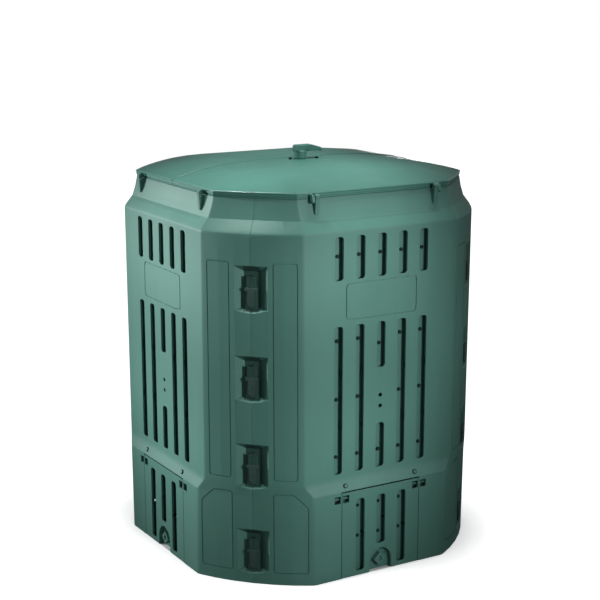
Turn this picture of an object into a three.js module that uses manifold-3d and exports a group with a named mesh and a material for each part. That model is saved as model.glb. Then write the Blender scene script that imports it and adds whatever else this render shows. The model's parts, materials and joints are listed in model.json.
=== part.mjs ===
// A slatted compost bin: four like wall panels, sixteen corner clips, a two-leaf lid with a turn handle,
// and a hinged emptying flap with a turn latch in the foot of each wall.
// Millimetres, +Z up. The origin is the middle of the floor that the bin stands on.
import * as THREE from 'three';
import { mergeVertices } from 'three/addons/utils/BufferGeometryUtils.js';
import Module from 'manifold-3d';

const wasm = await Module();
wasm.setup();

// Clearances and working allowances
const restGap = 0.3;
const seamGap = 0.4;
const pinGap = 0.3;
const sideGap = 1.4;
const cutOverrun = 3;
const weldDepth = 1;

// Wall panel in section, from the floor up
const wallThickness = 4;
const skirtHeight = 238;
const ledgeHeight = 30;
const faceHeight = 647;
const shoulderHeight = 29;
const collarHeight = 52;
const skirtHalf = 424;
const ledgeStep = 10;
const faceDraft = 2;
const shoulderStep = 22;
const collarStep = 15.5;
const ledgeRound = 9;
const shoulderRound = 7;
const lipRound = 2.5;
const collarBendShares = [0.5, 1];
const collarEasePower = 1.35;

// Corner wings: how much farther out a corner's middle stands than the flat sides, and how far it bulges
const skirtCornerStep = 44;
const skirtReachDraft = 3;
const ledgeReachStep = 2;
const faceReachDraft = 4;
const shoulderReachStep = 30;
const collarReachStep = 12;
const skirtBulge = 23;
const faceFootBulge = 17;
const faceTopBulge = 18;
const shoulderBulge = 6;
const collarBulge = 4;
const kinkRound = 7;
const wingSteps = 3;
const fullTurn = 2 * Math.PI;
const quarterTurn = fullTurn / 4;
const eighthTurn = fullTurn / 8;

// Air slots and the baffle strips that hang behind them
const slotWidth = 26;
const slotPitch = 64;
const slotColumns = 5;
const slotCorner = 5;
const upperSlotHeight = 110;
const upperSlotDrop = 15;
const slotRowSpacing = 118;
const lowerSlotHeight = 388;
const splitUpperHeight = 120;
const splitLowerHeight = 119;
const peepRadius = 5.5;
const peepPitch = 29;
const peepSides = 8;
const baffleDepth = 18;
const baffleThickness = 2;
const baffleLap = 6;
const tieWidth = 3.4;
const longTies = { placeShares: [0.152, 0.5, 0.848], heightShare: 0.3 };
const shortTies = { placeShares: [0.5], heightShare: 0.96 };

// Clip recesses in the corners, and the twin rails that the clips slide down
const recessCount = 4;
const recessPitch = 229.5;
const recessRise = 33;
const recessHeight = 114;
const recessMouthHalf = 45;
const recessFloorHalf = 22.5;
const recessDepth = 20;
const recessFootRise = 6;
const recessCeilingDrop = 17;
const recessWall = 3;
const recessSink = 3.2;
const scoopSteps = 4;
const scoopHalf = 43;
const scoopBackHalf = 30;
const scoopDrop = 7;
const scoopDepth = 9;
const railStemHalf = 4;
const railHeadHalf = 13;
const railSeatHalf = 15.8;
const railHeadDepth = 5.5;
const railHeadThickness = 3.5;
const railTopGap = 10;
const clipRise = 50;
const clipBarHeight = 8;
const clipThickness = 3.5;
const clipPlateHalf = 9.5;
const clipArmWidth = 2.6;
const clipLipThickness = 2.6;
const clipLipGap = 1;
const clipTipRise = 8;
const clipTipHeight = 8;

// Ears on the collar that carry the lid
const earInner = 172;
const earThickness = 12;
const earProud = 17.5;
const earFootRise = 14;
const earFootLean = 3;
const earTopRise = 12;
const earTopInset = 11;
const earCorner = 4;

// Lid leaves
const lidOverhang = 0.5;
const lidCornerStep = 55;
const lidBulge = 6;
const lidSkin = 3.5;
const lidRise = 36;
const lidRimHeight = 11;
const lidRimGap = 5;
const lidRimRound = 3;
const lidDomePower = 3.5;
const lidRingShares = [0, 0.36, 0.56, 0.7, 0.81, 0.9, 0.96];
const lidBrowShare = 0.993;
const lidWingSteps = 2;
const lidSeatInset = 1.5;
const lidSeatWidth = 6.5;
const leafGap = 0.8;

// Lid hinges
const lidAxisInset = 7;
const lidAxisDrop = 4;
const lidPinRadius = 3;
const lidPinHeadRadius = 5;
const lidPinHeadLength = 2;
const lidPinProud = 1.5;
const lidPinSides = 12;
const lidLugThickness = 8;
const lidLugRadius = 7;
const lidLugGap = 1.2;
const lidLugSteps = 8;
const lidLugTurnShare = 0.5625;
const lidReliefRadius = 19;
const lidReliefSides = 24;

// Turn handle on the front leaf and the cam below it
const knobX = -17;
const knobY = -40;
const knobHubRadius = 17;
const knobHubHeight = 20.5;
const knobHubSides = 20;
const knobArmReach = 64;
const knobArmHalfWidth = 13;
const knobArmThickness = 16.5;
const knobTipDrop = 19;
const knobTipThickness = 7;
const knobTipBend = 3.5;
const knobTipLean = 9;
const knobTipSlope = 34;
const knobTipFall = 9;
const spindleRadius = 6;
const spindleSides = 10;
const spindleSquare = 8;
const camReach = 60;
const camTail = 10;
const camWidth = 16;
const camThickness = 5;
const camGap = 1;
const camTailProud = 2;

// Doorway and flap in the foot of each wall
const flapHalf = 119.6;
const flapThickness = 4;
const flapFoot = 1;
const flapTopDrop = 4;
const doorTopGap = 3.6;
const flapEdgeThickness = 3;
const flapEdgeDepth = 16;
const jambThickness = 3.5;
const jambDepth = 28;
const lintelThickness = 3.3;
const lintelDepth = 12;
const sillHeight = 20;
const sillThickness = 4;
const flapSlotWidth = 27;
const flapSlotColumns = 3;
const flapSlotFoot = 13;
const flapSlotHeight = 198;
const flapMiddleSlotHeight = 134;
const flapTies = { placeShares: [0.255, 0.745], heightShare: 0.46 };

// Flap hinges: a pocket on each side of the flap's edge, with one pin across both
const flapPinRadius = 3.6;
const flapPinSides = 8;
const flapPinInset = 10;
const flapPinDrop = 21;
const hingePocketWidth = 18;
const hingePocketHeight = 20;
const hingePocketDepth = 14;
const hingePocketWall = 2.6;

// Arched finger recess in the flap, with its turn latch and catch
const archHalf = 34;
const archStraight = 29;
const archSteps = 8;
const archDepth = 15;
const archWall = 3;
const latchRise = 31;
const latchHalf = 18.5;
const latchHeadThickness = 13.5;
const latchHoleHalf = 8;
const latchHoleDepth = 4.5;
const latchSpindleRadius = 5.5;
const catchHalf = 24;
const catchWidth = 10;
const catchThickness = 4;
const catchGap = 3.5;
const latchTailProud = 1.5;

// Colours
const panelGreen = 0x3f7f6d;
const lidGreen = 0x4a8f7a;
const clipGreen = 0x2f4741;
const pinGreen = 0x51665f;
const panelRoughness = 0.55;
const clipRoughness = 0.6;

// Levels of the wall panel, worked out from the heights and steps above
const skirtReach = skirtHalf + skirtCornerStep;
const faceHalf = skirtHalf - ledgeStep + faceDraft;
const faceReach = skirtReach + ledgeReachStep + faceReachDraft;
const ledgeBottomZ = skirtHeight;
const ledgeTopZ = ledgeBottomZ + ledgeHeight;
const faceTopZ = ledgeTopZ + faceHeight;
const shoulderTopZ = faceTopZ + shoulderHeight;
const collarTopZ = shoulderTopZ + collarHeight;
const collarFootHalf = faceHalf - shoulderStep;
const collarTopHalf = collarFootHalf - collarStep;

const base = { z: 0, half: skirtHalf, reach: skirtReach - skirtReachDraft, bulge: skirtBulge };
const ledgeBottom = { z: ledgeBottomZ, half: skirtHalf, reach: skirtReach, bulge: skirtBulge };
const ledgeTop = {
  z: ledgeTopZ, half: skirtHalf - ledgeStep, reach: skirtReach + ledgeReachStep, bulge: faceFootBulge,
};
const faceTop = { z: faceTopZ, half: faceHalf, reach: faceReach, bulge: faceTopBulge };
const shoulderTop = {
  z: shoulderTopZ, half: collarFootHalf, reach: faceReach - shoulderReachStep, bulge: shoulderBulge,
};
const collarTop = {
  z: collarTopZ,
  half: collarTopHalf,
  reach: faceReach - shoulderReachStep - collarReachStep,
  bulge: collarBulge,
};
const lidHalf = collarTopHalf + lidOverhang;
const lidRim = { half: lidHalf, reach: lidHalf + lidCornerStep, bulge: lidBulge };

// Blend two levels
function between(from, to, share) {
  const mixed = {};
  for (const key of ['z', 'half', 'reach', 'bulge']) {
    mixed[key] = from[key] + (to[key] - from[key]) * share;
  }
  return mixed;
}

// Three levels that round the edge at one level, between its two neighbours
function roundedLevel(below, level, above, size) {
  const down = between(level, below, size / Math.hypot(level.z - below.z, level.half - below.half));
  const up = between(level, above, size / Math.hypot(above.z - level.z, above.half - level.half));
  const middle = between(between(down, up, 1 / 2), level, 1 / 2);
  return [down, middle, up];
}

// The collar hollows inward as it rises, leaning in most at its foot
function collarEased(share) {
  return 1 - (1 - share) ** collarEasePower;
}

function collarLevels() {
  const levels = [];
  for (const share of collarBendShares) {
    const level = between(shoulderTop, collarTop, share);
    const eased = collarEased(share);
    level.half = shoulderTop.half + (collarTop.half - shoulderTop.half) * eased;
    level.reach = shoulderTop.reach + (collarTop.reach - shoulderTop.reach) * eased;
    levels.push(level);
  }
  return levels;
}

const wallLevels = [
  base,
  ...roundedLevel(base, ledgeBottom, ledgeTop, lipRound),
  ...roundedLevel(ledgeBottom, ledgeTop, faceTop, ledgeRound),
  ...roundedLevel(ledgeTop, faceTop, shoulderTop, shoulderRound),
  shoulderTop,
  ...collarLevels(),
];

// The wall at any height of the face, and at any height of the skirt
function faceAt(z) {
  return between(ledgeTop, faceTop, (z - ledgeTopZ) / faceHeight);
}

function skirtAt(z) {
  return between(base, ledgeBottom, z / skirtHeight);
}

// Plan of one side at one level, from beyond its left seam to beyond its right seam
function sidePlan(level, inset, steps, edgeRound) {
  const half = level.half - inset;
  const reach = level.reach - inset;
  const kink = Math.SQRT2 * (reach - level.bulge) - half;
  const chord = (half - kink) / Math.SQRT2;
  const radius = (chord ** 2 + level.bulge ** 2) / level.bulge / 2;
  const spread = Math.asin(chord / radius);
  const onArc = (angle) => {
    const out = reach - radius + radius * Math.cos(angle);
    const along = radius * Math.sin(angle);
    return new THREE.Vector2((out + along) / Math.SQRT2, (along - out) / Math.SQRT2);
  };
  const corner = new THREE.Vector2(kink, -half);
  const right = [];
  let first = -spread;
  if (edgeRound > 0) {
    first = edgeRound / radius - spread;
    const flatEnd = new THREE.Vector2(kink - edgeRound, -half);
    const chordMiddle = flatEnd.clone().lerp(onArc(first), 1 / 2);
    right.push(flatEnd, chordMiddle.lerp(corner, 1 / 2));
  }
  for (let step = 0; step <= steps; step += 1) {
    right.push(onArc(first * (1 - step / steps)));
  }
  right.push(onArc(cutOverrun / radius));
  const left = right.map((point) => new THREE.Vector2(-point.x, point.y)).reverse();
  return [...left, ...right];
}

// A closed mesh of three.js becomes a solid that can be joined and cut
function solidOf(geometry) {
  geometry.deleteAttribute('normal');
  geometry.deleteAttribute('uv');
  const merged = mergeVertices(geometry);
  const { position } = merged.attributes;
  const triangle = [0, 1, 2];
  const corners = [];
  for (let start = 0; start < merged.index.count; start += triangle.length) {
    const [a, b, c] = triangle.map((offset) => merged.index.getX(start + offset));
    if (a !== b && b !== c && c !== a) corners.push(a, b, c);
  }
  return new wasm.Manifold(new wasm.Mesh({
    numProp: position.itemSize,
    vertProperties: new Float32Array(position.array),
    triVerts: new Uint32Array(corners),
  }));
}

function geometryOf(solid) {
  const mesh = solid.getMesh();
  const geometry = new THREE.BufferGeometry();
  const corners = new Float32Array(mesh.vertProperties);
  geometry.setAttribute('position', new THREE.BufferAttribute(corners, mesh.numProp));
  geometry.setIndex(new THREE.BufferAttribute(new Uint32Array(mesh.triVerts), 1));
  geometry.computeVertexNormals();
  return geometry;
}

function joined(solids) {
  return solids.reduce((whole, piece) => whole.add(piece));
}

// A box whose unit grid is carried onto a curved place by a function of its grid steps
function mappedBox(stepsU, stepsV, stepsW, place) {
  const geometry = new THREE.BoxGeometry(stepsU, stepsV, stepsW, stepsU, stepsV, stepsW);
  const position = geometry.attributes.position;
  for (let index = 0; index < position.count; index += 1) {
    const u = Math.round(position.getX(index) + stepsU / 2);
    const v = Math.round(position.getY(index) + stepsV / 2);
    const w = Math.round(position.getZ(index) + stepsW / 2);
    const point = place(u, v, w);
    position.setXYZ(index, point.x, point.y, point.z);
  }
  return solidOf(geometry);
}

function block(lowX, highX, lowY, highY, lowZ, highZ) {
  const geometry = new THREE.BoxGeometry(highX - lowX, highY - lowY, highZ - lowZ);
  geometry.translate((lowX + highX) / 2, (lowY + highY) / 2, (lowZ + highZ) / 2);
  return solidOf(geometry);
}

// A block whose front and back faces differ: each is a half width, a foot and a head
function taperedBlock(frontY, front, backY, back) {
  return mappedBox(1, 1, 1, (u, v, w) => {
    const face = v === 0 ? front : back;
    return new THREE.Vector3(
      u === 0 ? -face.half : face.half,
      v === 0 ? frontY : backY,
      w === 0 ? face.foot : face.head,
    );
  });
}

function prism(points, depth) {
  const shape = new THREE.Shape(points.map(([x, y]) => new THREE.Vector2(x, y)));
  return new THREE.ExtrudeGeometry(shape, { depth, bevelEnabled: false });
}

// An outline in X and Z, drawn through from one Y to the other
function prismAlongY(points, lowY, highY) {
  const geometry = prism(points, highY - lowY);
  geometry.rotateX(quarterTurn);
  geometry.translate(0, highY, 0);
  return solidOf(geometry);
}

// An outline in Y and Z, drawn through from one X to the other
function prismAlongX(points, lowX, highX) {
  const geometry = prism(points, highX - lowX);
  const turn = new THREE.Matrix4().makeBasis(
    new THREE.Vector3(0, 1, 0),
    new THREE.Vector3(0, 0, 1),
    new THREE.Vector3(1, 0, 0),
  );
  geometry.applyMatrix4(turn);
  geometry.translate(lowX, 0, 0);
  return solidOf(geometry);
}

function rodAlongX(radius, lowX, highX, y, z, sides) {
  const geometry = new THREE.CylinderGeometry(radius, radius, highX - lowX, sides);
  geometry.rotateZ(quarterTurn);
  geometry.translate((lowX + highX) / 2, y, z);
  return solidOf(geometry);
}

function rodAlongY(radius, lowY, highY, x, z, sides) {
  const geometry = new THREE.CylinderGeometry(radius, radius, highY - lowY, sides);
  geometry.translate(x, (lowY + highY) / 2, z);
  return solidOf(geometry);
}

function rodAlongZ(radius, lowZ, highZ, x, y, sides) {
  const geometry = new THREE.CylinderGeometry(radius, radius, highZ - lowZ, sides);
  geometry.rotateX(quarterTurn);
  geometry.translate(x, y, (lowZ + highZ) / 2);
  return solidOf(geometry);
}

// A solid built for the front, turned about the bin's axis
function turned(solid, angle) {
  const geometry = geometryOf(solid);
  geometry.deleteAttribute('normal');
  geometry.rotateZ(angle);
  geometry.setAttribute('normal', geometry.attributes.position.clone());
  geometry.setAttribute('uv', geometry.attributes.position.clone());
  return solidOf(geometry);
}

// Slot outline with cut corners, centred on x, from its foot up
function slotOutline(x, foot, width, height) {
  const half = width / 2;
  const head = foot + height;
  return [
    [x - half + slotCorner, foot],
    [x + half - slotCorner, foot],
    [x + half, foot + slotCorner],
    [x + half, head - slotCorner],
    [x + half - slotCorner, head],
    [x - half + slotCorner, head],
    [x - half, head - slotCorner],
    [x - half, foot + slotCorner],
  ];
}

// One baffle strip, longer than its slot and held by ties on both sides
function baffle(slot, faceY) {
  const half = slot.width / 2;
  const frontY = faceY + baffleDepth;
  const backY = frontY + baffleThickness;
  const foot = slot.foot - baffleLap;
  const head = slot.foot + slot.height + baffleLap;
  const strip = block(slot.x - half, slot.x + half, frontY, backY, foot, head);
  const tieHeight = (head - foot) * slot.ties.heightShare;
  const ties = slot.ties.placeShares.flatMap((share) => {
    const tieFoot = foot + (head - foot) * share - tieHeight / 2;
    const startY = faceY + slot.skin - weldDepth;
    return [-1, 1].map((side) => {
      const edges = [slot.x + side * (half - weldDepth), slot.x + side * (half + tieWidth)];
      return joined([
        block(Math.min(...edges), Math.max(...edges), frontY, backY, tieFoot, tieFoot + tieHeight),
        block(
          Math.min(edges[1], edges[1] - side * tieWidth),
          Math.max(edges[1], edges[1] - side * tieWidth),
          startY,
          backY,
          tieFoot,
          tieFoot + tieHeight,
        ),
      ]);
    });
  });
  return joined([strip, ...ties]);
}

// Slots of the wall's face: an upper row, and a lower row whose middle column is split
function wallSlots() {
  const slots = [];
  const upperFoot = faceTopZ - upperSlotDrop - upperSlotHeight;
  const lowerHead = upperFoot - slotRowSpacing;
  const lowerFoot = lowerHead - lowerSlotHeight;
  const middle = (slotColumns - 1) / 2;
  for (let column = 0; column < slotColumns; column += 1) {
    const x = (column - middle) * slotPitch;
    const common = { x, width: slotWidth, skin: wallThickness };
    slots.push({ ...common, foot: upperFoot, height: upperSlotHeight, ties: shortTies });
    if (column === middle) {
      const splitFoot = lowerHead - splitUpperHeight;
      slots.push({ ...common, foot: splitFoot, height: splitUpperHeight, ties: shortTies });
      slots.push({ ...common, foot: lowerFoot, height: splitLowerHeight, ties: shortTies });
    } else {
      slots.push({ ...common, foot: lowerFoot, height: lowerSlotHeight, ties: longTies });
    }
  }
  return slots;
}

function wallShell() {
  const outer = wallLevels.map((level) => sidePlan(level, 0, wingSteps, kinkRound));
  const inner = wallLevels.map((level) => sidePlan(level, wallThickness, wingSteps, kinkRound));
  const columns = outer[0].length - 1;
  return mappedBox(columns, 1, wallLevels.length - 1, (u, v, w) => {
    const plan = v === 0 ? outer[w][u] : inner[w][u];
    return new THREE.Vector3(plan.x, plan.y, wallLevels[w].z);
  });
}

// Clip recesses, shaped in front of the axis and turned into a corner afterwards
function recessPlaces() {
  const places = [];
  for (let index = 0; index < recessCount; index += 1) {
    const foot = recessRise + recessPitch * index;
    const middle = foot + recessHeight / 2;
    const level = middle > ledgeTopZ ? faceAt(middle) : skirtAt(middle);
    places.push({ foot, reach: level.reach });
  }
  return places;
}

function recessCut({ foot, reach }) {
  const slope = (recessMouthHalf - recessFloorHalf) / recessDepth;
  const front = {
    half: recessMouthHalf + slope * cutOverrun,
    foot: foot - (recessFootRise / recessDepth) * cutOverrun,
    head: foot + recessHeight + (recessCeilingDrop / recessDepth) * cutOverrun,
  };
  const back = {
    half: recessFloorHalf,
    foot: foot + recessFootRise,
    head: foot + recessHeight - recessCeilingDrop,
  };
  return taperedBlock(-reach - cutOverrun, front, recessDepth - reach, back);
}

// A shallow scoop dishes the middle of the recess's lower lip
function recessScoop({ foot, reach }) {
  const backFoot = foot + (recessFootRise / recessDepth) * scoopDepth - restGap;
  const outward = cutOverrun / scoopDepth;
  const frontHalf = scoopHalf + (scoopHalf - scoopBackHalf) * outward;
  const frontDrop = scoopDrop + (backFoot - foot + scoopDrop) * outward;
  return mappedBox(scoopSteps, 1, 1, (u, v, w) => {
    const across = (u + u) / scoopSteps - 1;
    const frontFoot = foot - frontDrop * (1 - across ** 2);
    const low = v === 0 ? frontFoot : backFoot;
    return new THREE.Vector3(
      across * (v === 0 ? frontHalf : scoopBackHalf),
      v === 0 ? -reach - cutOverrun : scoopDepth - reach,
      w === 0 ? low : foot + recessFootRise,
    );
  });
}

function recessShell({ foot, reach }) {
  const share = recessSink / recessDepth;
  const front = {
    half: recessMouthHalf + (recessFloorHalf - recessMouthHalf) * share + recessWall,
    foot: foot + recessFootRise * share - recessWall - scoopDrop * (1 - share),
    head: foot + recessHeight - recessCeilingDrop * share + recessWall,
  };
  const back = {
    half: recessFloorHalf + recessWall,
    foot: foot + recessFootRise - recessWall,
    head: foot + recessHeight - recessCeilingDrop + recessWall,
  };
  return taperedBlock(recessSink - reach, front, recessDepth + recessWall - reach, back);
}

function recessRails({ foot, reach }) {
  const floorY = recessDepth - reach;
  const headBackY = railHeadDepth + railHeadThickness - reach;
  const railFoot = foot + recessFootRise - weldDepth;
  const railTop = foot + recessHeight - recessCeilingDrop - railTopGap;
  const seatTop = foot + clipRise - restGap;
  return joined([
    block(-railStemHalf, railStemHalf, headBackY - weldDepth, floorY + weldDepth, railFoot, railTop),
    block(-railHeadHalf, railHeadHalf, railHeadDepth - reach, headBackY, railFoot, railTop),
    block(-railSeatHalf, railSeatHalf, railHeadDepth - reach, headBackY, railFoot, seatTop),
  ]);
}

// Ear outline in Y and Z: upright outer edge, foot running out where the collar flares to meet it
const earOuterY = -collarTopHalf - earProud;
const lidAxisY = earOuterY + lidAxisInset;
const lidAxisZ = collarTopZ - lidAxisDrop;
function wallEars() {
  const rootTopY = -collarTopHalf + wallThickness / 2;
  const footLean = collarStep * collarEased(earFootRise / collarHeight);
  const rootFootY = footLean - collarFootHalf + wallThickness / 2;
  const foot = shoulderTopZ + earFootRise;
  const head = collarTopZ + earTopRise;
  const outline = [
    [rootFootY, foot],
    [earOuterY + earFootLean, foot],
    [earOuterY, head - earCorner],
    [earOuterY + earCorner, head],
    [earOuterY + earTopInset, head],
    [earOuterY + earTopInset, collarTopZ - weldDepth],
    [rootTopY, collarTopZ - weldDepth],
  ];
  return joined([
    prismAlongX(outline, earInner, earInner + earThickness),
    prismAlongX(outline, -earInner - earThickness, -earInner),
  ]);
}

// Doorway: jambs, lintel and sill behind the flap
const skirtFaceY = -skirtHalf;
const doorHalf = flapHalf + sideGap;
const flapHead = ledgeBottomZ - flapTopDrop;
const doorHead = flapHead + doorTopGap;
const jambBackY = skirtFaceY + jambDepth;
const skinMiddleY = skirtFaceY + wallThickness / 2;
const flapPinY = skirtFaceY + flapPinInset;
const flapPinZ = ledgeBottomZ - flapPinDrop;
function doorFrame() {
  const outerX = doorHalf + jambThickness;
  const jambs = [-1, 1].map((side) => block(
    Math.min(side * doorHalf, side * outerX),
    Math.max(side * doorHalf, side * outerX),
    skinMiddleY,
    jambBackY,
    0,
    doorHead + lintelThickness,
  ));
  const lintel = block(
    -outerX, outerX, skinMiddleY, skirtFaceY + lintelDepth, doorHead, doorHead + lintelThickness,
  );
  const sill = block(-outerX, outerX, jambBackY - sillThickness, jambBackY, 0, sillHeight);
  return joined([...jambs, lintel, sill]);
}

// Hinge pockets: cups behind the skin, opening to the front
const pocketFoot = flapPinZ - hingePocketHeight / 2;
const pocketHead = flapPinZ + hingePocketHeight / 2;
function pocketSpan(side, nearX) {
  const farX = nearX + hingePocketWidth;
  return side > 0 ? [nearX, farX] : [-farX, -nearX];
}

function pocketCup(side, nearX) {
  const [low, high] = pocketSpan(side, nearX);
  return block(
    low - hingePocketWall,
    high + hingePocketWall,
    skinMiddleY,
    skirtFaceY + hingePocketDepth + hingePocketWall,
    pocketFoot - hingePocketWall,
    pocketHead + hingePocketWall,
  );
}

function pocketCut(side, nearX) {
  const [low, high] = pocketSpan(side, nearX);
  return block(
    low, high, skirtFaceY - cutOverrun, skirtFaceY + hingePocketDepth, pocketFoot, pocketHead,
  );
}

const wallPocketX = doorHalf + jambThickness;
const flapPocketX = flapHalf - flapEdgeThickness - hingePocketWidth;
const wallPocketFarX = wallPocketX + hingePocketWidth + hingePocketWall;

function wallPanel() {
  const slots = wallSlots();
  const faceY = (slot) => -faceAt(slot.foot + slot.height / 2).half;
  const cutY = -skirtHalf - cutOverrun;
  const skinBackY = -collarFootHalf;
  const places = recessPlaces();
  let solid = joined([wallShell(), ...slots.map((slot) => baffle(slot, faceY(slot)))]);
  for (const slot of slots) {
    const outline = slotOutline(slot.x, slot.foot, slot.width, slot.height);
    solid = solid.subtract(prismAlongY(outline, cutY, faceY(slot) + baffleDepth - weldDepth));
  }
  const splitGapFoot = slots.find((slot) => slot.height === splitLowerHeight);
  const splitGapHead = slots.find((slot) => slot.height === splitUpperHeight);
  const peepZ = (splitGapFoot.foot + splitGapFoot.height + splitGapHead.foot) / 2 - peepPitch;
  for (const z of [peepZ, peepZ + peepPitch]) {
    solid = solid.subtract(rodAlongY(peepRadius, cutY, skinBackY, 0, z, peepSides));
  }
  for (const angle of [-eighthTurn, eighthTurn]) {
    solid = solid.add(turned(joined(places.map(recessShell)), angle));
    solid = solid.subtract(turned(joined([...places.map(recessCut), ...places.map(recessScoop)]), angle));
    solid = solid.add(turned(joined(places.map(recessRails)), angle));
  }
  solid = solid.add(doorFrame());
  for (const side of [-1, 1]) {
    solid = solid.add(pocketCup(side, wallPocketX)).subtract(pocketCut(side, wallPocketX));
  }
  solid = solid.subtract(block(
    -doorHalf, doorHalf, skirtFaceY - cutOverrun, jambBackY - sillThickness - restGap, -cutOverrun, doorHead,
  ));
  solid = solid.subtract(rodAlongX(
    flapPinRadius + pinGap, -wallPocketFarX - cutOverrun, wallPocketFarX + cutOverrun, flapPinY, flapPinZ,
    flapPinSides,
  ));
  solid = solid.add(wallEars());
  solid = solid.subtract(rodAlongX(
    lidPinRadius + pinGap, -earInner - earThickness - cutOverrun, earInner + earThickness + cutOverrun,
    lidAxisY, lidAxisZ, lidPinSides,
  ));
  const seamY = seamGap / Math.SQRT2;
  const far = skirtHalf + skirtHalf;
  const wedge = prism([[0, -seamY], [-far, -far - seamY], [far, -far - seamY]], collarTopZ + far);
  wedge.translate(0, 0, -far / 2);
  return solid.intersect(solidOf(wedge));
}

// Clip: a front plate with a pointed foot, and a head bar whose arms hook behind the rails
function cornerClip({ foot, reach }) {
  const plateBackY = railHeadDepth - restGap - reach;
  const plateFrontY = plateBackY - clipThickness;
  const lipFrontY = railHeadDepth + railHeadThickness + restGap - reach;
  const lipBackY = lipFrontY + clipLipThickness;
  const armInner = railHeadHalf + restGap;
  const armOuter = armInner + clipArmWidth;
  const barFoot = foot + clipRise;
  const barHead = barFoot + clipBarHeight;
  const tip = foot + clipTipRise;
  const plate = prismAlongY([
    [-clipPlateHalf, barHead],
    [-clipPlateHalf, tip + clipTipHeight],
    [0, tip],
    [clipPlateHalf, tip + clipTipHeight],
    [clipPlateHalf, barHead],
  ], plateFrontY, plateBackY);
  const pieces = [plate, block(-armOuter, armOuter, plateFrontY, plateBackY, barFoot, barHead)];
  for (const side of [-1, 1]) {
    const span = (near, far) => [Math.min(side * near, side * far), Math.max(side * near, side * far)];
    const lipInner = railStemHalf + clipLipGap;
    pieces.push(block(...span(armInner, armOuter), plateFrontY, lipBackY, barFoot, barHead));
    pieces.push(block(...span(lipInner, armOuter), lipFrontY, lipBackY, barFoot, barHead));
  }
  return joined(pieces);
}

// Lid leaf: dome, rim skirt and seat ring in one closed section, swept round half of the rim
const lidRimTop = collarTopZ + lidRimGap + lidRimHeight;
const lidApex = lidRimTop + lidRise;
function domeZ(share) {
  return lidRimTop + lidRise * (1 - share ** lidDomePower);
}

function lidPlan(inset) {
  const side = sidePlan(lidRim, inset, lidWingSteps, 0).slice(1, -1);
  const half = lidRim.half - inset;
  const wing = side.slice(1, lidWingSteps + 1);
  return [
    new THREE.Vector2(-half, 0),
    ...wing.map((point) => new THREE.Vector2(point.y, point.x)).reverse(),
    ...side,
    ...wing.map((point) => new THREE.Vector2(-point.y, point.x)),
    new THREE.Vector2(half, 0),
  ];
}

function lidDome() {
  const outer = lidPlan(0);
  const rings = [...lidRingShares, lidBrowShare].map((share) => ({ share, z: domeZ(share) }));
  rings.push({ share: 1, z: lidRimTop - lidRimRound });
  rings.push({ share: 1, z: collarTopZ + lidRimGap });
  return mappedBox(outer.length - 1, rings.length - 1, 1, (u, v, w) => {
    const ring = rings[rings.length - 1 - v];
    const skin = (1 - w) * lidSkin;
    const scale = ring.share * (1 - skin / lidHalf);
    const drop = v === 0 ? 0 : skin;
    return new THREE.Vector3(outer[u].x * scale, outer[u].y * scale, ring.z - drop);
  });
}

function lidSeat() {
  const outer = lidPlan(lidSeatInset);
  const inner = lidPlan(lidSeatInset + lidSeatWidth);
  const seatHead = domeZ(1 - lidSeatInset / lidHalf) - lidSkin / 2;
  return mappedBox(outer.length - 1, 1, 1, (u, v, w) => {
    const point = v === 0 ? outer[u] : inner[u];
    return new THREE.Vector3(point.x, point.y, w === 0 ? collarTopZ + restGap : seatHead);
  });
}

function lidLug(side) {
  const round = [];
  for (let step = 0; step <= lidLugSteps; step += 1) {
    const angle = fullTurn / 2 + fullTurn * lidLugTurnShare * (step / lidLugSteps);
    round.push([
      lidAxisY + lidLugRadius * Math.cos(angle),
      lidAxisZ + lidLugRadius * Math.sin(angle),
    ]);
  }
  const insideY = -lidHalf + lidSeatInset + lidSeatWidth;
  const outline = [
    ...round,
    [insideY + lidSkin, lidRimTop - lidRimRound],
    [insideY + lidSkin, lidRimTop],
    [-lidHalf + lidSkin, lidRimTop - lidRimRound / 2],
    [lidAxisY - lidLugRadius / 2, lidRimTop - lidRimRound - lidSkin],
  ];
  const near = earInner + earThickness + lidLugGap;
  const far = near + lidLugThickness;
  return side > 0 ? prismAlongX(outline, near, far) : prismAlongX(outline, -far, -near);
}

function lidLeaf(withSpindleHole) {
  let solid = joined([lidDome(), lidSeat()]);
  const reliefLow = earInner - lidPinProud;
  const reliefHigh = earInner + earThickness + lidLugGap + lidLugThickness + lidPinHeadLength;
  for (const side of [-1, 1]) {
    const span = side > 0 ? [reliefLow, reliefHigh] : [-reliefHigh, -reliefLow];
    const relief = rodAlongX(lidReliefRadius, ...span, lidAxisY, lidAxisZ, lidReliefSides);
    solid = solid.subtract(relief);
    const along = rodAlongX(lidReliefRadius, reliefLow, reliefHigh, lidAxisY, lidAxisZ, lidReliefSides);
    const mirrored = rodAlongX(lidReliefRadius, -reliefHigh, -reliefLow, lidAxisY, lidAxisZ, lidReliefSides);
    solid = solid.subtract(turned(side > 0 ? mirrored : along, side * quarterTurn));
  }
  solid = joined([solid, lidLug(-1), lidLug(1)]);
  solid = solid.subtract(rodAlongX(
    lidPinRadius + pinGap, -reliefHigh - cutOverrun, reliefHigh + cutOverrun,
    lidAxisY, lidAxisZ, lidPinSides,
  ));
  if (withSpindleHole) {
    solid = solid.subtract(rodAlongZ(
      spindleRadius + pinGap, lidRimTop, lidApex + cutOverrun, knobX, knobY, spindleSides,
    ));
  }
  const far = lidHalf + lidHalf;
  return solid.intersect(block(-far, far, -far, -leafGap / 2, 0, lidApex + far));
}

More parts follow.
